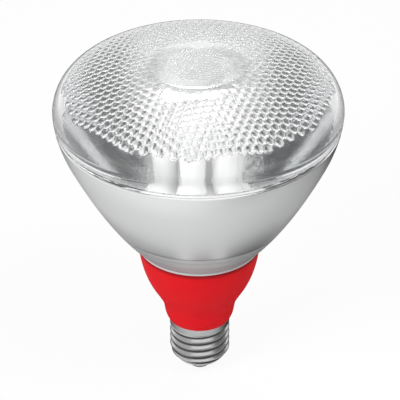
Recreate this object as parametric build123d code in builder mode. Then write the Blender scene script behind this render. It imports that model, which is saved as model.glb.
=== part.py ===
from build123d import *
import math
import os

os.makedirs("parts", exist_ok=True)

# Self-ballasted reflector lamp, in millimetres, base down.
# The Z axis is the lamp's axis, and Z = 0 is the face of the centre contact.

# Fits
slip_fit = 0.2  # one moulded or glass piece inside another
winding_fit = 0.1  # bobbin on its core
lead_fit = 0.4  # round a wire in its hole

# Screw base, medium size
base_height = 26.8  # contact face to the rim of the shell
thread_crest_r = 13.1
thread_depth = 1.05
thread_pitch = 3.63
ridge_round_r = 1.2  # rounding of the rolled thread
thread_runout = 0.15  # plain stretch at each end of the thread
shell_wall = 0.35
thread_turn = -46.0  # start of the thread round the axis
shell_foot_z = 5.0
shell_foot_inset = 2.1  # foot of the shell inside the thread's root
shell_foot_height = 2.9  # slope from the foot to the thread
shell_lip_width = 0.8  # turned-in lip that holds the insulator
skirt_height = 3.4  # plain band above the thread
stake_count = 4
stake_r = 0.8
stake_depth = 0.2
stake_drop = 0.95  # below the rim
stake_turn = -94.0  # the front stake is a little left of the middle
contact_r = 4.6
contact_thickness = 1.4
contact_edge_r = 0.5
eyelet_r = 0.9
solder_depth = 0.5
insulator_foot_r = 5.6

# Ballast housing: radius and height above the shell's rim at each station of the flare
housing_wall = 1.6
foot_r = 13.75
heel_r = 14.95
heel_rise = 3.0
waist_r = 15.68
waist_rise = 7.2
hip_r = 20.15
hip_rise = 16.5
board_station_r = 23.25
board_rise = 23.3
holder_station_r = 25.15
holder_rise = 30.2
mouth_r = 26.3
housing_height = 38.05
mouth_edge_r = 0.6
neck_gap = 2.45  # between the housing's neck and the insulator
neck_wall = 1.5
ledge_width = 1.6
ledge_depth = 1.4

# Reflector
glass_neck_wall = 1.6
glass_neck_depth = 2.5  # neck inside the housing's mouth
glass_neck_gap = 0.45  # round the neck in the mouth
reflector_foot_r = 26.6
reflector_lip = 0.85
rim_r = 59.8
flank_inset = 4.3  # end of the parabola inside the rim
flank_rise = 47.15  # end of the parabola above the housing's mouth
rim_wall = 3.0
reflector_height = 60.05
rim_round_r = 0.7
dish_floor_rise = 1.6  # foot of the silvered dish above the housing's mouth

# Lens
seal_height = 1.2
seal_inset = 0.5
lens_overhang = 0.3  # seat of the lens beyond the reflector's rim
lens_flare = 0.4  # widest ring beyond the seat
lens_wall = 3.2
lens_skirt = 4.4  # seat to the widest ring
lens_rise = 23.0  # widest ring to the crown
lens_shoulder_r = 16.0
crown_disc_r = 22.0
crown_disc_step = 0.3

# Discharge tube and its holder
tube_r = 5.5
tube_circle_r = 14.5
tube_height = 75.5
tube_turn = 18.9  # first leg round the axis
bridge_r = 2.6
bridge_height = 13.5
bend_count = 3
holder_plate = 2.0
holder_floor = 1.5
socket_wall = 0.7
socket_hole_r = 4.0
tube_lead_r = 0.4
tube_lead_gap = 3.0

# Ballast
board_thickness = 1.6
lead_lane = 4.0  # clear lane between choke and capacitor, for the leads
capacitor_r = 5.0
capacitor_height = 19.0
capacitor_edge_r = 0.6
core_width = 13.0
core_length = 12.0
core_thickness = 5.9
core_leg = 2.8
core_rim = 1.4
bobbin_wall = 0.6
bobbin_flange = 0.7
winding_build = 2.0
flange_proud = 0.5
part_gap = 1.2  # between neighbours on the board
toroid_r = 4.5
toroid_hole_r = 2.4
toroid_height = 4.0
toroid_round_r = 0.6
transistor_r = 2.4
transistor_back = 1.3
transistor_height = 5.0
transistor_pitch = 6.4
film_length = 8.0
film_thickness = 4.5
film_height = 7.0
film_edge_r = 0.7
diode_r = 1.35
diode_length = 5.2
diode_pitch = 4.0
diode_count = 4
fuse_r = 1.6
fuse_length = 9.0
lead_r = 0.45
neutral_lane = 6.0  # neutral lead from the axis
lead_bend_r = 3.0
lead_slack = 2.0

# Heights and radii that follow
thread_root_r = thread_crest_r - thread_depth
shell_bore_r = thread_root_r - shell_wall
skirt_bore_r = thread_crest_r - shell_wall
skirt_z = base_height - skirt_height
shell_foot_r = thread_root_r - shell_foot_inset
shell_lip_r = shell_foot_r - shell_lip_width
lip_top_z = shell_foot_z + shell_wall
foot_top_z = shell_foot_z + shell_foot_height
insulator_hole_r = lead_r + lead_fit
board_z = base_height + board_rise
board_top_z = board_z + board_thickness
holder_z = base_height + holder_rise
mouth_z = base_height + housing_height
neck_foot_z = foot_top_z + neck_gap
neck_r = shell_bore_r - slip_fit
neck_bore_r = neck_r - neck_wall
board_r = board_station_r - housing_wall - slip_fit
holder_r = holder_station_r - housing_wall - slip_fit
holder_top_z = holder_z + holder_plate
rim_z = mouth_z + reflector_height
glass_neck_z = mouth_z - glass_neck_depth
glass_neck_r = mouth_r - housing_wall - glass_neck_gap
glass_bore_r = glass_neck_r - glass_neck_wall
flank_r = rim_r - flank_inset
lens_seat_r = rim_r + lens_overhang
lens_r = lens_seat_r + lens_flare
lens_seat_z = rim_z + seal_height
lens_wide_z = lens_seat_z + lens_skirt
socket_floor_z = holder_z + holder_floor
boss_r = tube_circle_r + tube_r + socket_wall


def section_of(*stations):
    """Points on the XZ plane at a radius and a height above the rim of the shell."""
    return [(radius, base_height + rise) for radius, rise in stations]


def parabola(start, end):
    """A dish that is a true parabola about the Z axis, between two (radius, height) points."""
    steepness = (end[1] - start[1]) / (end[0] ** 2 - start[0] ** 2)
    middle_z = start[1] + steepness * start[0] * (end[0] - start[0])
    return Bezier(start, ((start[0] + end[0]) / 2, middle_z), end)


# Screw shell
with BuildPart() as screw_shell:
    with BuildSketch(Plane.XZ):
        with BuildLine():
            Polyline(
                (shell_lip_r, shell_foot_z),
                (shell_foot_r, shell_foot_z),
                (thread_root_r, foot_top_z),
                (thread_root_r, skirt_z - thread_depth),
                (thread_crest_r, skirt_z),
                (thread_crest_r, base_height),
                (skirt_bore_r, base_height),
                (skirt_bore_r, skirt_z),
                (shell_bore_r, skirt_z - thread_depth),
                (shell_bore_r, foot_top_z),
                (shell_foot_r - shell_wall, lip_top_z),
                (shell_lip_r, lip_top_z),
                close=True,
            )
        make_face()
    revolve(axis=Axis.Z)
    ridge_centre_r = thread_crest_r - ridge_round_r
    ridge_start_z = foot_top_z + ridge_round_r + thread_runout
    ridge_height = skirt_z - thread_depth - ridge_round_r - thread_runout - ridge_start_z
    start_plane = Plane.XY.offset(ridge_start_z).rotated((0, 0, thread_turn))
    with BuildLine(start_plane) as ridge_path:
        Helix(thread_pitch, ridge_height, ridge_centre_r)
    ridge_plane = Plane(ridge_path.line @ 0, x_dir=start_plane.x_dir, z_dir=ridge_path.line % 0)
    with BuildSketch(ridge_plane):
        Circle(ridge_round_r)
        with Locations((shell_bore_r + shell_wall / 2 - ridge_centre_r, 0)):
            Rectangle(
                4 * ridge_round_r, 4 * ridge_round_r, align=(Align.MAX, Align.CENTER), mode=Mode.SUBTRACT
            )
    sweep(path=ridge_path.line, is_frenet=True)
    stake_centre_r = thread_crest_r + stake_r - stake_depth
    with Locations((0, 0, base_height - stake_drop)):
        with PolarLocations(stake_centre_r, stake_count, start_angle=stake_turn):
            Sphere(stake_r, mode=Mode.SUBTRACT)

# Insulator in the foot of the shell
with BuildPart() as base_insulator:
    with BuildSketch(Plane.XZ):
        with BuildLine():
            Polyline(
                (insulator_hole_r, contact_thickness),
                (insulator_foot_r, contact_thickness),
                (shell_lip_r - slip_fit, shell_foot_z),
                (shell_lip_r - slip_fit, lip_top_z),
                (shell_foot_r - shell_wall - slip_fit, lip_top_z),
                (shell_bore_r - slip_fit, foot_top_z),
                (insulator_hole_r, foot_top_z),
                close=True,
            )
        make_face()
    revolve(axis=Axis.Z)

# Centre contact and its solder
with BuildPart() as centre_contact:
    with BuildSketch():
        Circle(contact_r)
        Circle(eyelet_r, mode=Mode.SUBTRACT)
    extrude(amount=contact_thickness)
    contact_edges = centre_contact.edges().filter_by(GeomType.CIRCLE).group_by(Axis.Z)[0]
    fillet(contact_edges.sort_by(SortBy.RADIUS)[-1], radius=contact_edge_r)

with BuildPart() as contact_solder:
    with BuildSketch():
        Circle(eyelet_r)
    extrude(amount=solder_depth)

# Ballast housing: the flare outside, the same flare one wall inside, the neck and two ledges
with BuildPart() as ballast_housing:
    flare = section_of(
        (heel_r, heel_rise),
        (waist_r, waist_rise),
        (hip_r, hip_rise),
        (board_station_r, board_rise),
        (holder_station_r, holder_rise),
        (mouth_r, housing_height),
    )
    with BuildSketch(Plane.XZ):
        with BuildLine():
            outside = Spline((foot_r, base_height), *flare)
            inside = Spline(
                (foot_r - housing_wall, base_height + housing_wall),
                *[(radius - housing_wall, height) for radius, height in flare],
            )
            Line(outside @ 1, inside @ 1)
            Polyline(
                inside @ 0,
                (neck_bore_r, base_height + housing_wall),
                (neck_bore_r, neck_foot_z),
                (neck_r, neck_foot_z),
                (neck_r, skirt_z + slip_fit),
                (skirt_bore_r - slip_fit, skirt_z + slip_fit),
                (skirt_bore_r - slip_fit, base_height),
                outside @ 0,
            )
        make_face()
    revolve(axis=Axis.Z)
    mouth_edges = ballast_housing.edges().filter_by(GeomType.CIRCLE).group_by(Axis.Z)[-1]
    fillet(mouth_edges.sort_by(SortBy.RADIUS)[-1], radius=mouth_edge_r)
    for seat_r, seat_z in ((board_r, board_z), (holder_r, holder_z)):
        with BuildSketch(Plane.XY.offset(seat_z)):
            Circle(seat_r + slip_fit + housing_wall / 2)
            Circle(seat_r - ledge_width, mode=Mode.SUBTRACT)
        extrude(amount=-ledge_depth)

# Reflector: a parabolic dish with a plain rim, a foot that sits on the mouth, and a neck inside it
with BuildPart() as reflector:
    with BuildSketch(Plane.XZ):
        with BuildLine():
            outer_dish = parabola((reflector_foot_r, mouth_z + reflector_lip), (flank_r, mouth_z + flank_rise))
            outer_flank = TangentArc(outer_dish @ 1, (rim_r, rim_z), tangent=outer_dish % 1)
            inner_dish = parabola((glass_bore_r, mouth_z + dish_floor_rise), (rim_r - rim_wall, rim_z))
            Line(outer_flank @ 1, inner_dish @ 1)
            Polyline(
                inner_dish @ 0,
                (glass_bore_r, glass_neck_z),
                (glass_neck_r, glass_neck_z),
                (glass_neck_r, mouth_z),
                (reflector_foot_r, mouth_z),
                outer_dish @ 0,
            )
        make_face()
    revolve(axis=Axis.Z)
    rim_edges = reflector.edges().filter_by(GeomType.CIRCLE).group_by(Axis.Z)[-1]
    fillet(rim_edges.sort_by(SortBy.RADIUS)[-1], radius=rim_round_r)

# Cement between the rims of lens and reflector
with BuildPart() as lens_seal:
    with BuildSketch(Plane.XY.offset(rim_z)):
        Circle(rim_r - rim_round_r)
        Circle(rim_r - rim_wall + seal_inset, mode=Mode.SUBTRACT)
    extrude(amount=seal_height)

# Lens: skirt, rolled shoulder and shallow dome of one wall, with a raised disc in the middle
with BuildPart() as lens:
    shoulder_centre = (lens_r - lens_shoulder_r, lens_wide_z)
    face_angle = 2 * math.degrees(math.atan((lens_rise - lens_shoulder_r) / shoulder_centre[0]))
    dome_r = shoulder_centre[0] / math.sin(math.radians(face_angle)) + lens_shoulder_r
    dome_centre = (0, lens_wide_z + lens_rise - dome_r)
    with BuildSketch(Plane.XZ):
        with BuildLine():
            outer_shoulder = CenterArc(shoulder_centre, lens_shoulder_r, 0, 90 - face_angle)
            outer_dome = CenterArc(dome_centre, dome_r, 90 - face_angle, face_angle)
            inner_shoulder = CenterArc(shoulder_centre, lens_shoulder_r - lens_wall, 0, 90 - face_angle)
            inner_dome = CenterArc(dome_centre, dome_r - lens_wall, 90 - face_angle, face_angle)
            Line(outer_dome @ 1, inner_dome @ 1)
            Polyline(
                inner_shoulder @ 0,
                (lens_seat_r - rim_wall, lens_seat_z),
                (lens_seat_r, lens_seat_z),
                outer_shoulder @ 0,
            )
        make_face()
    revolve(axis=Axis.Z)
    disc_angle = math.degrees(math.asin(crown_disc_r / dome_r))
    with BuildSketch(Plane.XZ):
        with BuildLine():
            disc_top = CenterArc(dome_centre, dome_r + crown_disc_step, 90 - disc_angle, disc_angle)
            disc_foot = CenterArc(dome_centre, dome_r - lens_wall / 2, 90 - disc_angle, disc_angle)
            Line(disc_top @ 0, disc_foot @ 0)
            Line(disc_top @ 1, disc_foot @ 1)
        make_face()
    revolve(axis=Axis.Z)
    seat_edges = lens.edges().filter_by(GeomType.CIRCLE).group_by(Axis.Z)[0]
    fillet(seat_edges.sort_by(SortBy.RADIUS)[-1], radius=rim_round_r)

# Tube holder: plate on the upper ledge, with a boss of six sockets
with BuildPart() as tube_holder:
    with BuildSketch(Plane.XY.offset(holder_z)):
        Circle(holder_r)
    extrude(amount=holder_plate)
    with BuildSketch(Plane.XY.offset(holder_top_z)):
        Circle(boss_r)
    extrude(amount=glass_neck_z - holder_top_z)
    with BuildSketch(Plane.XY.offset(socket_floor_z)):
        with PolarLocations(tube_circle_r, 2 * bend_count, start_angle=tube_turn):
            Circle(tube_r + slip_fit)
    extrude(amount=glass_neck_z - socket_floor_z, mode=Mode.SUBTRACT)
    with BuildSketch(Plane.XY.offset(holder_z)):
        with PolarLocations(tube_circle_r, 2 * bend_count, start_angle=tube_turn):
            Circle(socket_hole_r)
    extrude(amount=holder_floor, mode=Mode.SUBTRACT)

# Cement round the boss, under the reflector's neck
with BuildPart() as neck_cement:
    with BuildSketch(Plane.XY.offset(holder_top_z)):
        Circle(holder_r + slip_fit)
        Circle(boss_r, mode=Mode.SUBTRACT)
    extrude(amount=glass_neck_z - holder_top_z)

# Discharge tube: three U bends round the axis, joined low down by two bridges
leg_step = 180 / bend_count
leg_chord = 2 * tube_circle_r * math.sin(math.radians(leg_step / 2))
chord_offset = tube_circle_r * math.cos(math.radians(leg_step / 2))
leg_height = tube_height - tube_r - leg_chord / 2


def chord_plane(turn, height):
    """A plane that stands on the chord between two legs: X along the chord, Y up."""
    out = Vector(1, 0, 0).rotate(Axis.Z, turn)
    return Plane(out * chord_offset + Vector(0, 0, height), x_dir=out.rotate(Axis.Z, 90), z_dir=out)


with BuildPart() as discharge_tube:
    for bend in range(bend_count):
        bend_turn = tube_turn + (2 * bend + 0.5) * leg_step
        with BuildLine(chord_plane(bend_turn, socket_floor_z)) as bend_path:
            rise = Line((-leg_chord / 2, 0), (-leg_chord / 2, leg_height))
            crown = ThreePointArc(rise @ 1, (0, leg_height + leg_chord / 2), (leg_chord / 2, leg_height))
            Line(crown @ 1, (leg_chord / 2, 0))
        with BuildSketch(Plane(bend_path.line @ 0, z_dir=bend_path.line % 0)):
            Circle(tube_r)
        sweep(path=bend_path.line)
    for bridge in range(1, bend_count):
        bridge_turn = tube_turn + (2 * bridge - 0.5) * leg_step
        bridge_plane = chord_plane(bridge_turn, socket_floor_z + bridge_height)
        with BuildSketch(Plane(bridge_plane.origin, x_dir=bridge_plane.y_dir, z_dir=bridge_plane.x_dir)):
            Circle(bridge_r)
        extrude(amount=leg_chord / 2, both=True)

with BuildPart() as tube_leads:
    for leg_turn in (tube_turn, tube_turn - leg_step):
        end_plane = Plane.XY.offset(board_top_z).rotated((0, 0, leg_turn))
        with BuildSketch(end_plane):
            with Locations((tube_circle_r, 0)):
                with GridLocations(0, tube_lead_gap, 1, 2):
                    Circle(tube_lead_r)
        extrude(amount=socket_floor_z - board_top_z)

# Circuit board and what hangs below it
board_under = Plane((0, 0, board_z), x_dir=(1, 0, 0), z_dir=(0, 0, -1))
capacitor_x = lead_lane / 2 + capacitor_r
choke_x = -lead_lane / 2 - core_length / 2
flange_height = core_thickness + 2 * (winding_fit + bobbin_wall + winding_build + flange_proud)
flange_width = core_width - 2 * core_rim - 2 * winding_fit
choke_plane = Plane((choke_x, 0, board_z - flange_height / 2))
spool_length = core_length - 2 * core_rim - 2 * winding_fit
spool_width = core_leg + 2 * (winding_fit + bobbin_wall)
spool_height = core_thickness + 2 * (winding_fit + bobbin_wall)

with BuildPart() as circuit_board:
    with BuildSketch(Plane.XY.offset(board_z)):
        Circle(board_r)
    extrude(amount=board_thickness)

with BuildPart() as bulk_capacitor:
    with BuildSketch(board_under):
        with Locations((capacitor_x, 0)):
            Circle(capacitor_r)
    extrude(amount=capacitor_height)
    fillet(bulk_capacitor.edges().filter_by(GeomType.CIRCLE), radius=capacitor_edge_r)

with BuildPart() as choke_core:
    window_width = (core_width - 2 * core_rim - core_leg) / 2
    with BuildSketch(choke_plane):
        Rectangle(core_length, core_width)
        with GridLocations(0, core_leg + window_width, 1, 2):
            Rectangle(core_length - 2 * core_rim, window_width, mode=Mode.SUBTRACT)
    extrude(amount=core_thickness / 2, both=True)

spool_plane = Plane(choke_plane.origin, x_dir=(0, 1, 0), z_dir=(1, 0, 0))
with BuildPart() as choke_bobbin:
    with BuildSketch(spool_plane):
        Rectangle(spool_width, spool_height)
    extrude(amount=spool_length / 2, both=True)
    for side in (-1, 1):
        with BuildSketch(spool_plane.offset(side * spool_length / 2)):
            Rectangle(flange_width, flange_height)
        extrude(amount=-side * bobbin_flange)
    with BuildSketch(spool_plane):
        Rectangle(core_leg + 2 * winding_fit, core_thickness + 2 * winding_fit)
    extrude(amount=spool_length / 2, both=True, mode=Mode.SUBTRACT)

with BuildPart() as choke_winding:
    with BuildSketch(spool_plane):
        RectangleRounded(spool_width + 2 * winding_build, spool_height + 2 * winding_build, winding_build)
        Rectangle(spool_width, spool_height, mode=Mode.SUBTRACT)
    extrude(amount=spool_length / 2 - bobbin_flange, both=True)

with BuildPart() as drive_toroid:
    toroid_y = core_width / 2 + part_gap + toroid_r
    with BuildSketch(board_under):
        with Locations((choke_x, toroid_y)):
            Circle(toroid_r)
            Circle(toroid_hole_r, mode=Mode.SUBTRACT)
    extrude(amount=toroid_height)
    fillet(drive_toroid.edges().filter_by(GeomType.CIRCLE), radius=toroid_round_r)

with BuildPart() as power_transistors:
    transistor_y = -core_width / 2 - part_gap - transistor_r
    with BuildSketch(board_under):
        with Locations((choke_x, transistor_y)):
            with GridLocations(transistor_pitch, 0, 2, 1):
                Circle(transistor_r)
                with Locations((0, transistor_back)):
                    Rectangle(
                        2 * transistor_r, transistor_r, align=(Align.CENTER, Align.MIN), mode=Mode.SUBTRACT
                    )
    extrude(amount=transistor_height)

film_y = capacitor_r + part_gap + film_thickness / 2
with BuildPart() as resonant_capacitor:
    with BuildSketch(board_under):
        with Locations((capacitor_x, film_y)):
            RectangleRounded(film_length, film_thickness, film_edge_r)
    extrude(amount=film_height)

with BuildPart() as coupling_capacitor:
    with BuildSketch(board_under):
        with Locations((capacitor_x, -film_y)):
            RectangleRounded(film_length, film_thickness, film_edge_r)
    extrude(amount=film_height)

# On top of the board
with BuildPart() as rectifier_diodes:
    diode_plane = Plane((choke_x, 0, board_top_z + diode_r), x_dir=(0, 1, 0), z_dir=(1, 0, 0))
    with BuildSketch(diode_plane):
        with GridLocations(diode_pitch, 0, diode_count, 1):
            Circle(diode_r)
    extrude(amount=diode_length / 2, both=True)

with BuildPart() as fuse_resistor:
    fuse_plane = Plane((lead_lane, 0, board_top_z + fuse_r), x_dir=(1, 0, 0), z_dir=(0, -1, 0))
    with BuildSketch(fuse_plane):
        Circle(fuse_r)
    extrude(amount=fuse_length / 2, both=True)

# Leads from the board to the base
with BuildPart() as live_lead:
    with BuildLine(Plane.YZ) as live_path:
        FilletPolyline(
            (0, board_z),
            (0, base_height + housing_wall),
            (-lead_slack, (base_height + neck_foot_z) / 2),
            (0, neck_foot_z),
            (0, solder_depth),
            radius=lead_bend_r,
        )
    with BuildSketch(Plane(live_path.line @ 0, z_dir=live_path.line % 0)):
        Circle(lead_r)
    sweep(path=live_path.line)

with BuildPart() as neutral_lead:
    neutral_z = (neck_foot_z + foot_top_z) / 2
    with BuildLine(Plane.YZ) as neutral_path:
        FilletPolyline(
            (neutral_lane, board_z),
            (neutral_lane, neutral_z),
            (shell_bore_r - slip_fit / 2, neutral_z),
            radius=lead_bend_r,
        )
    with BuildSketch(Plane(neutral_path.line @ 0, z_dir=neutral_path.line % 0)):
        Circle(lead_r)
    sweep(path=neutral_path.line)

# One file for each piece
pieces = {
    "lens": lens,
    "lens_seal": lens_seal,
    "reflector": reflector,
    "neck_cement": neck_cement,
    "tube_holder": tube_holder,
    "discharge_tube": discharge_tube,
    "tube_leads": tube_leads,
    "ballast_housing": ballast_housing,
    "circuit_board": circuit_board,
    "bulk_capacitor": bulk_capacitor,
    "choke_core": choke_core,
    "choke_bobbin": choke_bobbin,
    "choke_winding": choke_winding,
    "drive_toroid": drive_toroid,
    "power_transistors": power_transistors,
    "resonant_capacitor": resonant_capacitor,
    "coupling_capacitor": coupling_capacitor,
    "rectifier_diodes": rectifier_diodes,
    "fuse_resistor": fuse_resistor,
    "live_lead": live_lead,
    "neutral_lead": neutral_lead,
    "screw_shell": screw_shell,
    "base_insulator": base_insulator,
    "centre_contact": centre_contact,
    "contact_solder": contact_solder,
}
for name, piece in pieces.items():
    piece.part.label = name
    export_step(piece.part, f"parts/{name}.step")
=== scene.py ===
import bmesh
import bpy
import math
import numpy as np
from mathutils import Matrix, Vector
from mathutils.geometry import delaunay_2d_cdt


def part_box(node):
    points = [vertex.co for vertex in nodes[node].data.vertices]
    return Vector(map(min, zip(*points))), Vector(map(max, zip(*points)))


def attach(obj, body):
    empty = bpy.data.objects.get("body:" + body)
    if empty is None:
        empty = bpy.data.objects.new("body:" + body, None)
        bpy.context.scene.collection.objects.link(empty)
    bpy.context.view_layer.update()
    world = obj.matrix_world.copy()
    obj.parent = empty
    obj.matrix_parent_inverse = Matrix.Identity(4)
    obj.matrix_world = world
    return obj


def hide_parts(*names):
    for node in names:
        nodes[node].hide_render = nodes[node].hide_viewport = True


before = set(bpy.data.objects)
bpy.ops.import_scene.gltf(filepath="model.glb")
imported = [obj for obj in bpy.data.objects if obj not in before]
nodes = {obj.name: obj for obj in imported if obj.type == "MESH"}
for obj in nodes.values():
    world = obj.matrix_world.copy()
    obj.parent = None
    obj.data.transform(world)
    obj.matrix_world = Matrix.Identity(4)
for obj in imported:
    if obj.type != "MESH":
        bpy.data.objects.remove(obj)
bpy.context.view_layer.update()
scene = bpy.context.scene
scene.view_settings.view_transform = "Standard"

# Light goes in through the beads, round the silvered dish and out again, so its paths are long
scene.cycles.max_bounces = 32
scene.cycles.glossy_bounces = 16
scene.cycles.transmission_bounces = 24

MM = 0.001

# Lens, in millimetres, as the solid that it replaces
lens_low, lens_high = (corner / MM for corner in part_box("lens"))
LENS_R = lens_high.x
LENS_SEAT_Z = lens_low.z
LENS_SEAT_R = LENS_R - 0.4
LENS_WIDE_Z = LENS_SEAT_Z + 4.4
LENS_RISE = 23.0
LENS_WALL = 3.2
SEAT_WALL = 3.0
SEAT_ROUND_R = 0.7
SHOULDER_R = 16.0
DISC_R = 22.0
DISC_STEP = 0.3
STEP_START, STEP_MIDDLE, STEP_END = -0.6, -0.1, 0.4  # degrees of the dome, from the disc's edge
LENS_TURNS = 192
SEAT_POINTS = 6
SHOULDER_POINTS = 40
DOME_POINTS = 30
DISC_POINTS = 16
BAND_POINTS = 16

# Beads pressed into the inside of the lens, in millimetres
BEAD_PITCH = 3.6
BEAD_ROUND_R = 2.4
BEAD_TURN = 13.0
BEAD_START_R = 20.4
BEAD_FULL_R = 26.0
BEAD_ZONE_R = 54.6
BEAD_EDGE = 1.4
BEAD_GRID = 8
GRID_EDGE = 0.35
FINE_PITCH = 1.5
FINE_ROUND_R = 4.0
FINE_ZONE_R = 13.2
FINE_EDGE = 0.6
FINE_GRID_R = FINE_ZONE_R + 0.8
COARSE_GRID_R = FINE_ZONE_R + 1.1

# Heights on the lamp, in metres. Each of the dish's ring lines, dark lines painted where reflections fall
# on the flare, has a strength, a height and a width
MOUTH_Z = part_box("ballast_housing")[1].z
DISH_REFLECTED_RINGS = ((1.0, 0.0809, 0.0011), (0.5, 0.0772, 0.0009), (0.35, 0.0717, 0.0012))
DISH_FOOT_Z = (0.0785, 0.0822)
DISH_LIP_Z = (0.0652, 0.0659)
DISH_LOW_Z = (0.088, 0.104)

# Screw shell, in millimetres
shell_low, shell_high = (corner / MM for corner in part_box("screw_shell"))
CREST_R = shell_high.x
THREAD_DEPTH = 1.05
THREAD_PITCH = 3.63
THREAD_START_Z = shell_low.z + 4.25
THREAD_TURN = -46.0
THREAD_FADE_IN = (2.2, 5.0)  # from the foot up
THREAD_FADE_OUT = (-1.5, -0.2)  # from the skirt down
FOOT_INSET = 2.1
FOOT_HEIGHT = 2.9
FOOT_BEVEL = (0.25, 0.12)
SKIRT_HEIGHT = 3.4
SKIRT_SWELL = 1.0
SKIRT_GAP = 0.1
SKIRT_Z = shell_high.z - SKIRT_HEIGHT
RIM_BEVEL = ((0.06, 0.03), (0.14, 0.0))  # in from the crest, down from the rim
RIM_DROP = 0.12
SHELL_WALL = 0.35
SHELL_LIP = 0.8
SHELL_TURNS = 180
THREAD_POINTS = 84
SKIRT_POINTS = 16
GROOVE_R = (CREST_R - THREAD_DEPTH, CREST_R - 0.7)
CREST_LINE_R = (CREST_R - 0.22, CREST_R - 0.08)
THREAD_TOP_Z = (SKIRT_Z - 1.2, SKIRT_Z - 0.8)
CONE_Z = (shell_low.z + 1.6, shell_low.z + 3.0)
STAKES = 4
STAKE_TURN = -94.0
STAKE_R = 0.55
STAKE_DEPTH = 0.2
STAKE_DROP = 0.95

# Walls round the stage, in points and in metres
WALL_COLUMNS = 49
WALL_ROWS = 13
WALL_CENTRE_Z = 0.13


class Wire:
    """A shader socket. Arithmetic on it adds Math nodes."""

    def __init__(self, finish, socket):
        self.finish, self.socket = finish, socket

    def sums(self, operation, first, second):
        return self.finish.node("ShaderNodeMath", {"operation": operation}, {0: first, 1: second})

    def __add__(self, other):
        return self.sums("ADD", self, other)

    def __radd__(self, other):
        return self.sums("ADD", other, self)

    def __sub__(self, other):
        return self.sums("SUBTRACT", self, other)

    def __rsub__(self, other):
        return self.sums("SUBTRACT", other, self)

    def __mul__(self, other):
        return self.sums("MULTIPLY", self, other)

    def __rmul__(self, other):
        return self.sums("MULTIPLY", other, self)

    def __truediv__(self, other):
        return self.sums("DIVIDE", self, other)

    def __pow__(self, other):
        return self.sums("POWER", self, other)


class Finish:
    """A material, built node by node. The surroundings are built the same way."""

    def __init__(self, name, kind=bpy.data.materials):
        self.material = kind.new(name)
        self.material.use_nodes = True
        self.tree = self.material.node_tree
        self.tree.nodes.clear()

    def node(self, kind, settings=None, sockets=None, out=0):
        made = self.tree.nodes.new(kind)
        for key, value in (settings or {}).items():
            setattr(made, key, value)
        for key, value in (sockets or {}).items():
            if isinstance(value, Wire):
                self.tree.links.new(value.socket, made.inputs[key])
            else:
                made.inputs[key].default_value = value
        return Wire(self, made.outputs[out]) if made.outputs else None

    def place(self):
        return self.node("ShaderNodeTexCoord", out="Object")

    def part(self, vector, axis):
        return self.node("ShaderNodeSeparateXYZ", sockets={0: vector}, out=axis)

    def band(self, value, low, high, start=0.0, end=1.0):
        """start below low, end above high, and a smooth change between."""
        return self.node(
            "ShaderNodeMapRange",
            {"interpolation_type": "SMOOTHSTEP"},
            {"Value": value, "From Min": low, "From Max": high, "To Min": start, "To Max": end},
        )

    def ring_at(self, height, z, width):
        """1 on a ring line at a height, fading to 0 over a width on both sides."""
        away = self.node("ShaderNodeMath", {"operation": "ABSOLUTE"}, {0: height - z})
        return self.band(away, 0.0, width, 1.0, 0.0)

    def round_axis(self, place, stretch):
        """Coordinates that run round the lamp's axis, so that noise on them makes streaks along it."""
        x, y, z = (self.part(place, axis) for axis in "XYZ")
        reach = (x * x + y * y) ** 0.5
        return self.node(
            "ShaderNodeCombineXYZ", sockets={0: x / (reach + 1e-5), 1: y / (reach + 1e-5), 2: z * stretch}
        )

    def noise(self, vector, scale, detail=2.0, roughness=0.5):
        return self.node(
            "ShaderNodeTexNoise",
            sockets={"Vector": vector, "Scale": scale, "Detail": detail, "Roughness": roughness},
            out="Fac",
        )

    def mix(self, share, first, second):
        return self.node(
            "ShaderNodeMix",
            {"data_type": "RGBA"},
            {"Factor": share, "A": first, "B": second},
            out="Result",
        )

    def bump(self, height, strength, distance):
        return self.node(
            "ShaderNodeBump", sockets={"Height": height, "Strength": strength, "Distance": distance}
        )

    def surface(self, **sockets):
        shader = self.node(
            "ShaderNodeBsdfPrincipled", sockets={k.replace("_", " "): v for k, v in sockets.items()}
        )
        self.node("ShaderNodeOutputMaterial", sockets={"Surface": shader})
        return self.material


def clear_glass():
    finish = Finish("clear_lens_glass")
    place = finish.place()
    streaks = finish.noise(finish.round_axis(place, 6.0), 26.0, 3.0)
    waves = finish.noise(place, 70.0, 2.0)
    return finish.surface(
        Base_Color=(0.985, 0.99, 0.992, 1.0),
        Roughness=0.015,
        IOR=1.47,
        Transmission_Weight=1.0,
        Normal=finish.bump(streaks + 0.6 * waves, 0.08, 0.0006),
    )


def seal_cement():
    """Opaque cement, painted pale by each of the three tubes and dark in patches between them: painted
    reflections of the tubes and of the dark dish that show through a clear joint.
    """
    finish = Finish("seal_cement")
    place = finish.place()
    across = finish.part(finish.round_axis(place, 0.0), "Y")
    threefold = across * (3.0 - 4.0 * across * across)
    # painted reflections: dark patches between the tubes and pale cement by them stand in for what shows
    # through a clear joint
    shade_between_tubes = finish.band(threefold, 0.30, 0.55, 1.0, 0.0)
    lines = finish.noise(finish.round_axis(place, 900.0), 2.0, 3.0)
    shade_patches = finish.band(finish.noise(finish.round_axis(place, 200.0), 7.0, 2.0), 0.42, 0.50)
    tone = finish.mix(lines, (0.84, 0.84, 0.84, 1.0), (0.74, 0.74, 0.74, 1.0))
    return finish.surface(
        Base_Color=finish.mix(shade_between_tubes * shade_patches, tone, (0.05, 0.05, 0.05, 1.0)),
        Roughness=0.5 + 0.1 * lines,
        Normal=finish.bump(lines, 0.3, 0.0002),
    )


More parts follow.
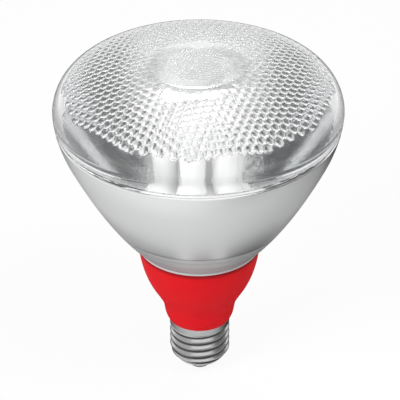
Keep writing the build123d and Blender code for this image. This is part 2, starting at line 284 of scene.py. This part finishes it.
def silvered_glass():
    """A clear mirror inside. Satin outside, with a dull foot, dark ring lines painted as reflections on
    the flare, and a painted dark reflection along the lower outline, stronger at grazing angles.
    """
    finish = Finish("silvered_reflector_glass")
    place = finish.place()
    height = finish.part(place, "Z")
    facing = finish.part(finish.node("ShaderNodeNewGeometry", out="Normal"), "Z")
    inside = finish.band(facing, 0.05, 0.2)
    cloud = finish.noise(place, 45.0, 3.0)
    streaks = finish.noise(finish.round_axis(place, 1.5), 42.0, 3.0)
    # painted reflections: dark ring lines in the flare's colour where reflected lines fall, with a
    # shallow groove in the bump
    ring = sum(strength * finish.ring_at(height, z, width) for strength, z, width in DISH_REFLECTED_RINGS)
    foot = finish.band(height, *DISH_FOOT_Z, 1.0, 0.0) * (1 - inside)
    lip = finish.band(height, *DISH_LIP_Z, 1.0, 0.0) * (1 - inside)
    # painted dark reflection: the lower outline is darkened in colour towards grazing angles, standing in
    # for dark surroundings mirrored there
    low = finish.band(height, *DISH_LOW_Z, 1.0, 0.0) * (1 - inside)
    grazing = finish.node("ShaderNodeLayerWeight", sockets={"Blend": 0.5}, out="Facing")
    tone = finish.mix(cloud * 0.25, (0.80, 0.805, 0.81, 1.0), (0.70, 0.705, 0.71, 1.0))
    tone = finish.mix(foot, tone, (0.56, 0.565, 0.57, 1.0))
    tone = finish.mix(0.6 * low * finish.band(grazing, 0.55, 0.95), tone, (0.22, 0.22, 0.225, 1.0))
    tone = finish.mix(ring * 0.5, tone, (0.16, 0.16, 0.165, 1.0))
    tone = finish.mix(lip * 0.4, tone, (0.62, 0.62, 0.62, 1.0))
    tone = finish.mix(inside, tone, (0.95, 0.955, 0.96, 1.0))
    relief = 0.1 * (cloud - ring) + 0.16 * inside * streaks
    return finish.surface(
        Base_Color=tone,
        Metallic=1 - 0.35 * foot,
        Roughness=0.27 + 0.06 * cloud + 0.2 * foot - inside * (0.25 + 0.06 * cloud),
        Normal=finish.bump(relief, 1.0, 0.0004),
    )


def red_plastic():
    finish = Finish("red_housing_plastic")
    place = finish.place()
    height = finish.part(place, "Z")
    cloud = finish.noise(place, 60.0, 3.0)
    grain = finish.noise(place, 2600.0, 2.0, 0.6)
    # painted shadow: the red darkens towards its top edge, under the dish's overhanging lip
    lip_shadow = finish.band(height, MOUTH_Z - 0.0030, MOUTH_Z - 0.0008)
    tone = finish.mix(cloud, (0.62, 0.006, 0.011, 1.0), (0.65, 0.008, 0.014, 1.0))
    tone = finish.mix(lip_shadow * 0.8, tone, (0.2, 0.006, 0.009, 1.0))
    return finish.surface(
        Base_Color=tone,
        Roughness=0.5 + 0.06 * cloud + 0.05 * grain,
        Specular_IOR_Level=0.04,
        Normal=finish.bump(grain, 0.12, 0.0001),
    )


def rolled_metal():
    """Bright drawn metal, with painted shade near black in the grooves, a painted dark reflection line on
    the crests, and pale on the cone at the foot.
    """
    finish = Finish("rolled_shell_metal")
    place = finish.place()
    x, y = finish.part(place, "X"), finish.part(place, "Y")
    reach = (x * x + y * y) ** 0.5 / MM
    height = finish.part(place, "Z") / MM
    # painted shade: the grooves are coloured near black, and are a little rougher
    shaded_groove = finish.band(reach, *GROOVE_R, 1.0, 0.0)
    # painted reflection: a dark line along the crests, below the skirt, stands in for darker surroundings
    # mirrored there
    crest_reflection_line = finish.band(reach, *CREST_LINE_R) * finish.band(height, *THREAD_TOP_Z, 1.0, 0.0)
    cone = finish.band(height, *CONE_Z, 1.0, 0.0)
    drawn = finish.noise(finish.round_axis(place, 900.0), 1.5, 3.0)
    spots = finish.noise(place, 420.0, 4.0, 0.6)
    tone = finish.mix(spots * 0.5, (0.66, 0.66, 0.665, 1.0), (0.52, 0.52, 0.525, 1.0))
    tone = finish.mix(crest_reflection_line * 0.55, tone, (0.22, 0.22, 0.225, 1.0))
    tone = finish.mix(shaded_groove * 0.92, tone, (0.03, 0.03, 0.032, 1.0))
    tone = finish.mix(cone, tone, (0.72, 0.72, 0.72, 1.0))
    return finish.surface(
        Base_Color=tone,
        Metallic=1 - 0.8 * cone,
        Roughness=0.22 + 0.12 * spots + 0.12 * shaded_groove,
        Normal=finish.bump(drawn + 0.5 * spots, 0.12, 0.0001),
    )


def plain_finish(name, light, dark, roughness, metallic=0.0):
    """A small piece's finish: two near tones that drift into each other, and a fine grain."""
    finish = Finish(name)
    place = finish.place()
    cloud = finish.noise(place, 180.0, 3.0)
    grain = finish.noise(place, 2160.0, 2.0)
    return finish.surface(
        Base_Color=finish.mix(cloud, (*light, 1.0), (*dark, 1.0)),
        Metallic=metallic,
        Roughness=roughness + 0.1 * cloud,
        Normal=finish.bump(grain, 0.1, 0.0001),
    )


def coated_tube():
    """White powder inside thin glass: light that falls on one side comes out all round."""
    finish = Finish("coated_tube_glass")
    cloud = finish.noise(finish.place(), 180.0, 3.0)
    return finish.surface(
        Base_Color=finish.mix(cloud, (0.92, 0.92, 0.91, 1.0), (0.89, 0.89, 0.88, 1.0)),
        Roughness=0.12 + 0.1 * cloud,
        Subsurface_Weight=0.8,
        Subsurface_Radius=(1.0, 1.0, 1.0),
        Subsurface_Scale=0.012,
        Specular_IOR_Level=0.15,
    )


def wound_wire():
    finish = Finish("copper_winding")
    place = finish.place()
    turns = finish.node(
        "ShaderNodeTexWave",
        {"wave_type": "BANDS", "bands_direction": "X", "wave_profile": "SIN"},
        {"Vector": place, "Scale": 420.0, "Distortion": 0.4, "Detail": 1.0},
        out="Fac",
    )
    return finish.surface(
        Base_Color=finish.mix(turns, (0.24, 0.08, 0.03, 1.0), (0.62, 0.26, 0.11, 1.0)),
        Metallic=0.8,
        Roughness=0.3 + 0.2 * turns,
        Normal=finish.bump(turns, 0.6, 0.0002),
    )


def piece_from(name, points, faces, finish, node):
    """A closed piece, in millimetres, that stands for a node of the solid model."""
    mesh = bpy.data.meshes.new(name)
    mesh.from_pydata((np.asarray(points) * MM).tolist(), [], faces)
    work = bmesh.new()
    work.from_mesh(mesh)
    bmesh.ops.recalc_face_normals(work, faces=work.faces)
    work.to_mesh(mesh)
    work.free()
    mesh.shade_smooth()
    mesh.materials.append(finish)
    made = bpy.data.objects.new(name, mesh)
    scene.collection.objects.link(made)
    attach(made, "root")
    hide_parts(node)
    return made


def arc(centre, radius, start, end, steps):
    """Points on an arc in the (radius, height) plane, angles in degrees from straight out."""
    turns = np.radians(np.linspace(start, end, steps))
    return [(centre[0] + radius * math.cos(t), centre[1] + radius * math.sin(t)) for t in turns]


def ring_points(profile, turns):
    """A profile of (radius, height) points turned round the axis, one ring after another."""
    angle = np.arange(turns) * 2 * math.pi / turns
    reach, height = np.asarray(profile).T
    return np.stack(
        [
            np.outer(reach, np.cos(angle)).ravel(),
            np.outer(reach, np.sin(angle)).ravel(),
            np.repeat(height, turns),
        ],
        axis=1,
    )


def ring_faces(rings, turns, first=0):
    """Quads between each ring and the next."""
    here = np.arange(turns)
    after = (here + 1) % turns
    return [
        quad
        for ring in range(rings - 1)
        for quad in np.stack(
            [
                first + ring * turns + here,
                first + ring * turns + after,
                first + (ring + 1) * turns + after,
                first + (ring + 1) * turns + here,
            ],
            axis=1,
        ).tolist()
    ]


def ease(value, low, high):
    """0 below low, 1 above high, and a smooth change between."""
    share = np.clip((value - low) / (high - low), 0, 1)
    return share * share * (3 - 2 * share)


def beehive(pitch, reach):
    """Points of an even triangular lattice within a reach of the axis, rows along X."""
    row = pitch * math.sqrt(3) / 2
    count = int(reach / row) + 2
    rows, steps = np.mgrid[-count : count + 1, -count - 1 : count + 2]
    points = np.stack([(steps + 0.5 * (rows % 2)) * pitch, rows * row], axis=-1).reshape(-1, 2)
    return points[np.hypot(*points.T) < reach]


def bead_rise(points, pitch, round_r, keep):
    """How far one lattice's beads stand proud at each point. keep says which bead centres are there."""
    row = pitch * math.sqrt(3) / 2
    nearest = np.full(len(points), 1e9)
    centre = np.zeros_like(points)
    base = np.floor(points[:, 1] / row)
    for step in (0, 1):
        rows = base + step
        shift = 0.5 * (rows % 2)
        column = np.round(points[:, 0] / pitch - shift)
        spot = np.stack([(column + shift) * pitch, rows * row], axis=1)
        away = np.hypot(*(points - spot).T)
        closer = away < nearest
        nearest[closer] = away[closer]
        centre[closer] = spot[closer]
    floor = math.sqrt(round_r**2 - pitch**2 / 3)
    rise = np.sqrt(np.maximum(round_r**2 - nearest**2, floor**2)) - floor
    return rise * keep(np.hypot(*centre.T))


def make_lens():
    """The lens from its seat up: outside, crown, seat and clear band inside, then the beaded field."""
    shoulder = (LENS_R - SHOULDER_R, LENS_WIDE_Z)
    face_angle = 2 * math.atan((LENS_RISE - SHOULDER_R) / shoulder[0])
    dome_r = shoulder[0] / math.sin(face_angle) + SHOULDER_R
    dome_z = LENS_WIDE_Z + LENS_RISE - dome_r
    meet = 90 - math.degrees(face_angle)
    disc_turn = math.degrees(math.acos(DISC_R / dome_r))
    step = disc_turn + STEP_MIDDLE
    seat = (LENS_SEAT_R - SEAT_ROUND_R, LENS_SEAT_Z + SEAT_ROUND_R)

    outside = [(LENS_SEAT_R - SEAT_WALL, LENS_SEAT_Z)]
    outside += arc(seat, SEAT_ROUND_R, -90, 0, SEAT_POINTS)
    outside += arc(shoulder, SHOULDER_R, 0, meet, SHOULDER_POINTS)
    outside += arc((0, dome_z), dome_r, meet, disc_turn + STEP_START, DOME_POINTS)[1:]
    outside += arc((0, dome_z), dome_r + DISC_STEP / 2, step, step, 1)
    outside += arc((0, dome_z), dome_r + DISC_STEP, disc_turn + STEP_END, 90, DISC_POINTS)[:-1]
    points = [ring_points(outside, LENS_TURNS)]
    faces = ring_faces(len(outside), LENS_TURNS)
    crown = len(outside) * LENS_TURNS
    points.append(np.array([[0, 0, dome_z + dome_r + DISC_STEP]]))
    last = crown - LENS_TURNS
    faces += [[last + i, last + (i + 1) % LENS_TURNS, crown] for i in range(LENS_TURNS)]

    inner_shoulder_r = SHOULDER_R - LENS_WALL
    inner_dome_r = dome_r - LENS_WALL
    dome_reach = inner_dome_r * face_angle
    edge = math.degrees(math.acos((BEAD_ZONE_R - shoulder[0]) / inner_shoulder_r))
    zone_reach = dome_reach + inner_shoulder_r * (math.radians(90 - edge) - face_angle)
    inside = arc(shoulder, inner_shoulder_r, 0, edge, BAND_POINTS)
    first = crown + 1
    points.append(ring_points(inside, LENS_TURNS))
    here = np.arange(LENS_TURNS)
    after = (here + 1) % LENS_TURNS
    faces += np.stack([here, after, first + after, first + here], axis=1).tolist()
    faces += ring_faces(len(inside), LENS_TURNS, first)

    ring = first + (len(inside) - 1) * LENS_TURNS
    rim = points[-1][-LENS_TURNS:, :2]
    coarse = beehive(BEAD_PITCH / BEAD_GRID, zone_reach - GRID_EDGE)
    fine = beehive(FINE_PITCH / BEAD_GRID, FINE_GRID_R)
    coarse = coarse[np.hypot(*coarse.T) > COARSE_GRID_R]
    field = np.concatenate([fine, coarse])
    reach = np.hypot(*field.T)
    rise = bead_rise(
        field,
        BEAD_PITCH,
        BEAD_ROUND_R,
        lambda r: ease(r, BEAD_START_R, BEAD_FULL_R) * (r < zone_reach - BEAD_EDGE),
    )
    rise += bead_rise(field, FINE_PITCH, FINE_ROUND_R, lambda r: r < FINE_ZONE_R - FINE_EDGE)
    on_dome = reach <= dome_reach
    lean = np.where(on_dome, reach / inner_dome_r, face_angle + (reach - dome_reach) / inner_shoulder_r)
    bend_r = np.where(on_dome, inner_dome_r, inner_shoulder_r)
    out = np.where(on_dome, 0.0, shoulder[0]) + bend_r * np.sin(lean)
    base = np.where(on_dome, dome_z, LENS_WIDE_Z) + bend_r * np.cos(lean)
    turn = math.radians(BEAD_TURN)
    turned = np.array([[math.cos(turn), math.sin(turn)], [-math.sin(turn), math.cos(turn)]])
    way = field @ turned / np.maximum(reach, 1e-6)[:, None]
    field = way * out[:, None]
    beads = [way * (out - rise * np.sin(lean))[:, None], base - rise * np.cos(lean)]
    points.append(np.column_stack(beads))

    flat = [Vector(p) for p in np.concatenate([rim, field]).tolist()]
    found = delaunay_2d_cdt(flat, [], [], 0, 1e-6)
    field_first = first + len(inside) * LENS_TURNS
    number = [ring + i for i in range(LENS_TURNS)] + [field_first + i for i in range(len(field))]
    source = [group[0] for group in found[3]]
    faces += [[number[source[corner]] for corner in face] for face in found[2]]
    return piece_from(
        "beaded_lens", np.concatenate(points), faces, clear_glass(), "lens"
    )


def make_shell():
    """The shell as one skin: foot, thread and skirt up the outside, over the rim and down the inside."""
    turns, foot_z, rim_z = SHELL_TURNS, shell_low.z, shell_high.z
    root_r = CREST_R - THREAD_DEPTH
    angle = np.arange(turns) * 2 * math.pi / turns
    heights = np.concatenate(
        [
            np.linspace(foot_z + SHELL_WALL, SKIRT_Z, THREAD_POINTS),
            np.linspace(SKIRT_Z + SKIRT_GAP, rim_z - RIM_DROP, SKIRT_POINTS),
        ]
    )
    turn, height = np.meshgrid(angle, heights)
    start = THREAD_START_Z + THREAD_PITCH * (turn - math.radians(THREAD_TURN)) / (2 * math.pi)
    wave = 0.5 + 0.5 * np.cos(2 * math.pi * (height - start) / THREAD_PITCH)

    fade = ease(height - foot_z, *THREAD_FADE_IN) * (1 - ease(height - SKIRT_Z, *THREAD_FADE_OUT))
    taper = FOOT_INSET * np.clip(1 - (height - foot_z) / FOOT_HEIGHT, 0, 1)
    swell = ease(height, SKIRT_Z - SKIRT_SWELL, SKIRT_Z)
    reach = root_r - taper + THREAD_DEPTH * np.maximum(wave * fade, swell)
    for stake in range(STAKES):
        middle = math.radians(STAKE_TURN + stake * 360 / STAKES)
        off = (turn - middle + math.pi) % (2 * math.pi) - math.pi
        away = np.hypot(off * CREST_R, height - (rim_z - STAKE_DROP)) / STAKE_R
        reach = reach - STAKE_DEPTH * np.exp(-2 * away**2)
    outer = np.stack([reach * np.cos(turn), reach * np.sin(turn), height], axis=-1).reshape(-1, 3)
    foot_r = root_r - FOOT_INSET
    lip_r = foot_r - SHELL_LIP
    bevel, rise = FOOT_BEVEL
    foot = ring_points([(lip_r, foot_z), (foot_r - bevel, foot_z), (foot_r, foot_z + rise)], turns)
    rim = [(CREST_R - inward, rim_z - down) for inward, down in RIM_BEVEL]
    rim = ring_points([*rim, (CREST_R - SHELL_WALL, rim_z)], turns)
    inner_reach = np.minimum(reach, CREST_R)[::-1] - SHELL_WALL
    inner = np.stack(
        [inner_reach * np.cos(turn), inner_reach * np.sin(turn), height[::-1]], axis=-1
    ).reshape(-1, 3)
    lip = ring_points([(lip_r, foot_z + SHELL_WALL)], turns)
    points = np.concatenate([foot, outer, rim, inner, lip])
    rings = len(points) // turns
    faces = ring_faces(rings, turns)
    here = np.arange(turns)
    after = (here + 1) % turns
    last = (rings - 1) * turns
    faces += np.stack([last + here, last + after, after, here], axis=1).tolist()
    return piece_from("threaded_shell", points, faces, rolled_metal(), "screw_shell")


lens = make_lens()
lens.visible_shadow = False
make_shell()

# Finishes for the solids that stay
white_plastic = plain_finish("holder_plastic", (0.87, 0.86, 0.82), (0.82, 0.81, 0.77), 0.45)
tinned = plain_finish("tinned_wire", (0.72, 0.72, 0.71), (0.6, 0.6, 0.6), 0.3, 1.0)
ferrite = plain_finish("ferrite", (0.055, 0.055, 0.06), (0.035, 0.035, 0.038), 0.6, 0.1)
film = plain_finish("film_capacitor_resin", (0.46, 0.09, 0.04), (0.36, 0.06, 0.03), 0.25)
black_body = plain_finish("moulded_black", (0.035, 0.035, 0.035), (0.02, 0.02, 0.02), 0.5)
jacket = plain_finish("wire_jacket", (0.84, 0.84, 0.83), (0.78, 0.78, 0.77), 0.4)
# painted shade: the tinned centre contact is coloured near black, standing in for the shade under the
# foot
contact = plain_finish("tinned_contact_painted_dark", (0.08, 0.078, 0.076), (0.05, 0.048, 0.046), 0.4, 0.3)
finishes = {
    "reflector": silvered_glass(),
    "ballast_housing": red_plastic(),
    "lens_seal": seal_cement(),
    "neck_cement": plain_finish("neck_cement", (0.7, 0.67, 0.6), (0.6, 0.57, 0.5), 0.8),
    "tube_holder": white_plastic,
    "discharge_tube": coated_tube(),
    "tube_leads": tinned,
    "circuit_board": plain_finish("board_laminate", (0.43, 0.31, 0.17), (0.36, 0.25, 0.13), 0.5),
    "bulk_capacitor": plain_finish("capacitor_sleeve", (0.03, 0.035, 0.05), (0.02, 0.022, 0.03), 0.25),
    "choke_core": ferrite,
    "choke_bobbin": black_body,
    "choke_winding": wound_wire(),
    "drive_toroid": ferrite,
    "power_transistors": black_body,
    "resonant_capacitor": film,
    "coupling_capacitor": film,
    "rectifier_diodes": black_body,
    "fuse_resistor": plain_finish("resistor_coat", (0.2, 0.45, 0.4), (0.16, 0.38, 0.34), 0.35),
    "live_lead": jacket,
    "neutral_lead": jacket,
    "base_insulator": plain_finish("insulator_glass", (0.66, 0.66, 0.65), (0.58, 0.58, 0.57), 0.2),
    "centre_contact": contact,
    "contact_solder": plain_finish("solder", (0.62, 0.62, 0.63), (0.5, 0.5, 0.51), 0.35, 1.0),
}
for name, finish in finishes.items():
    nodes[name].data.materials.clear()
    nodes[name].data.materials.append(finish)

# Camera, as in the photograph
aim = Vector((0.00047, 0.0, 0.08575))
distance = 0.95
rise = math.radians(33.0)
roll = math.radians(-0.32)
camera = bpy.data.objects.new("camera", bpy.data.cameras.new("camera"))
scene.collection.objects.link(camera)
camera.data.sensor_width = 36.0
camera.data.lens = 201.1
camera.location = aim + distance * Vector((0.0, -math.cos(rise), math.sin(rise)))
tilt = Matrix.Rotation(math.radians(90.0) - rise, 3, "X")
camera.rotation_euler = (tilt @ Matrix.Rotation(roll, 3, "Z")).to_euler()
scene.camera = camera


def soft_lamp(name, place, toward, width, height, watts, mirrored=False):
    lamp = bpy.data.objects.new(name, bpy.data.lights.new(name, "AREA"))
    lamp.data.shape = "RECTANGLE"
    lamp.data.size, lamp.data.size_y = width, height
    lamp.data.energy = watts
    lamp.location = place
    lamp.rotation_euler = (Vector(toward) - Vector(place)).to_track_quat("-Z", "Y").to_euler()
    lamp.visible_glossy = lamp.visible_transmission = mirrored
    scene.collection.objects.link(lamp)
    return lamp


soft_lamp("key_lamp", (-0.75, -0.75, 0.75), (0, 0, 0.09), 0.7, 0.7, 10.5)
soft_lamp("fill_lamp", (0.8, -0.6, 0.35), (0, 0, 0.09), 0.6, 0.8, 0.6)
soft_lamp("top_lamp", (0.5, -0.35, 1.1), (0, 0, 0.12), 0.5, 0.5, 5.0)
soft_lamp("sparkle_lamp", (-0.03, 0.594, 0.826), (0, 0, 0.15), 0.19, 0.08, 1.1, True)


# Surroundings: white to the camera, gloss and glass, and a plain level of light for the rest
def seen(finish):
    """1 on the rays that show the white background, 0 on those that only carry light."""
    camera_ray, gloss_ray, glass_ray = (
        finish.node("ShaderNodeLightPath", out=f"Is {ray} Ray")
        for ray in ("Camera", "Glossy", "Transmission")
    )
    return finish.node(
        "ShaderNodeMath",
        {"operation": "ADD", "use_clamp": True},
        {0: camera_ray + gloss_ray, 1: glass_ray},
    )


studio = Finish("studio", bpy.data.worlds)
studio.node(
    "ShaderNodeOutputWorld",
    sockets={
        "Surface": studio.node(
            "ShaderNodeBackground",
            sockets={"Color": (1.0, 1.0, 1.0, 1.0), "Strength": 0.42 + 0.58 * seen(studio)},
        )
    },
)
scene.world = studio.material


def stage_floor(name, width, z, finish):
    """A flat square under the lamp that isn't part of it."""
    mesh = bpy.data.meshes.new(name)
    w = width / 2
    mesh.from_pydata([(-w, -w, 0), (w, -w, 0), (w, w, 0), (-w, w, 0)], [], [(0, 1, 2, 3)])
    mesh.materials.append(finish)
    made = bpy.data.objects.new(name, mesh)
    made.location.z = z
    scene.collection.objects.link(made)
    return made


def pale_floor():
    finish = Finish("pale_floor")
    lit = finish.node("ShaderNodeBsdfDiffuse", sockets={"Color": (0.9, 0.9, 0.9, 1.0)})
    glow = finish.node("ShaderNodeEmission", sockets={"Color": (1.0, 1.0, 1.0, 1.0), "Strength": 1.0})
    share = 0.9 * seen(finish)
    finish.node(
        "ShaderNodeOutputMaterial",
        sockets={"Surface": finish.node("ShaderNodeMixShader", sockets={0: share, 1: lit, 2: glow})},
    )
    return finish.material


def unseen(made, in_gloss, through_glass):
    """Leaves a stage piece to gloss or to glass."""
    made.visible_camera = False
    made.visible_diffuse = False
    made.visible_shadow = False
    made.visible_glossy = in_gloss
    made.visible_transmission = through_glass
    return made


def glow(finish, tone):
    shader = finish.node("ShaderNodeEmission", sockets={"Color": tone, "Strength": 1.0})
    finish.node("ShaderNodeOutputMaterial", sockets={"Surface": shader})
    return finish.material


def wall_paint(name, tone):
    """Grey with pale slits in gloss and glass, and white to what only carries light.

    Through glass it is pale to what the dish mirrors three times, and its middle to what it mirrors once.
    """
    finish = Finish(name)
    carried = finish.node("ShaderNodeLightPath", out="Diffuse Depth")
    depth = finish.node("ShaderNodeLightPath", out="Glossy Depth")
    through = finish.node("ShaderNodeLightPath", out="Is Transmission Ray")
    place = finish.node("ShaderNodeNewGeometry", out="Position")
    across = finish.part(place, "X")
    once = finish.ring_at(depth, 1.0, 0.5) * finish.band(across * across, 0.75, 0.95, 1.0, 0.0)
    mirrored = (once + finish.ring_at(depth, 3.0, 0.5)) * through
    slits = finish.band(finish.noise(finish.round_axis(place, 0.15), 16.0, 3.0, 0.6), 0.53, 0.57)
    paint = finish.mix(slits * 0.6, (tone, tone, tone, 1.0), (0.7, 0.7, 0.7, 1.0))
    paint = finish.mix(mirrored, paint, (0.75, 0.75, 0.75, 1.0))
    return glow(finish, finish.mix(carried, paint, (1.0, 1.0, 1.0, 1.0)))


def dark_wall(name, sides, rises, tone, in_gloss, through_glass, far=1.2):
    """A grey part of the room, between two angles round the lamp, 0 to the camera, and two of rise."""
    mesh = bpy.data.meshes.new(name)
    turns = np.radians(np.linspace(*sides, WALL_COLUMNS))
    lifts = np.radians(np.linspace(*rises, WALL_ROWS))
    turn, lift = np.meshgrid(turns, lifts)
    points = np.stack([np.cos(lift) * np.sin(turn), -np.cos(lift) * np.cos(turn), np.sin(lift)], axis=-1)
    points = points.reshape(-1, 3) * far + (0, 0, WALL_CENTRE_Z)
    corners = [
        row * WALL_COLUMNS + column for row in range(WALL_ROWS - 1) for column in range(WALL_COLUMNS - 1)
    ]
    faces = [[at, at + 1, at + WALL_COLUMNS + 1, at + WALL_COLUMNS] for at in corners]
    mesh.from_pydata(points.tolist(), [], faces)
    mesh.materials.append(wall_paint(name, tone))
    made = bpy.data.objects.new(name, mesh)
    scene.collection.objects.link(made)
    return unseen(made, in_gloss, through_glass)


def floor_shade():
    """The floor as the dish mirrors it: lighter to the front left, dark round the foot.

    Through glass it is dark in front, grey under the lamp and pale far behind.
    """
    finish = Finish("floor_shade")
    place = finish.node("ShaderNodeNewGeometry", out="Position")
    x, y = finish.part(place, "X"), finish.part(place, "Y")
    wide, deep = (x - 0.006) / 0.040, (y - 0.015) / 0.030
    foot = finish.band((wide * wide + deep * deep) ** 0.5, 0.2, 2.1, 1.0, 0.0)
    front = finish.band(y, -0.13, -0.06, 1.0, 0.0)
    back = finish.band(y, 0.06, 0.16)
    beside = finish.ring_at(x, 0.019, 0.012) + finish.ring_at(x, -0.013, 0.012)
    beside = beside * finish.ring_at(y, -0.012, 0.024)
    plain = 0.65 - 1.1 * x - 2.2 * y - 0.85 * foot - 3.0 * x * front - 0.3 * back + 0.7 * beside
    tone = finish.node("ShaderNodeClamp", sockets={"Value": plain, "Min": 0.04, "Max": 1.0})
    through = finish.node("ShaderNodeLightPath", out="Is Transmission Ray")
    glassy = 0.08 + 0.37 * finish.band(y, -0.06, 0.0) + 0.45 * finish.band(y, 0.1, 0.4)
    tone = tone + through * (glassy - tone)
    return glow(finish, finish.mix(tone, (0.0, 0.0, 0.0, 1.0), (1.0, 1.0, 1.0, 1.0)))


stage_floor("floor", 8.0, -0.0002, pale_floor())
unseen(stage_floor("floor_shade", 1.6, 0.001, floor_shade()), True, True)
dark_wall("right_wall", (48.0, 110.0), (0.0, 66.0), 0.12, True, False)
dark_wall("left_wall", (-110.0, -38.0), (5.0, 66.0), 0.5, True, False)
dark_wall("front_room", (-85.0, 85.0), (2.0, 64.0), 0.01, False, True, 1.3)
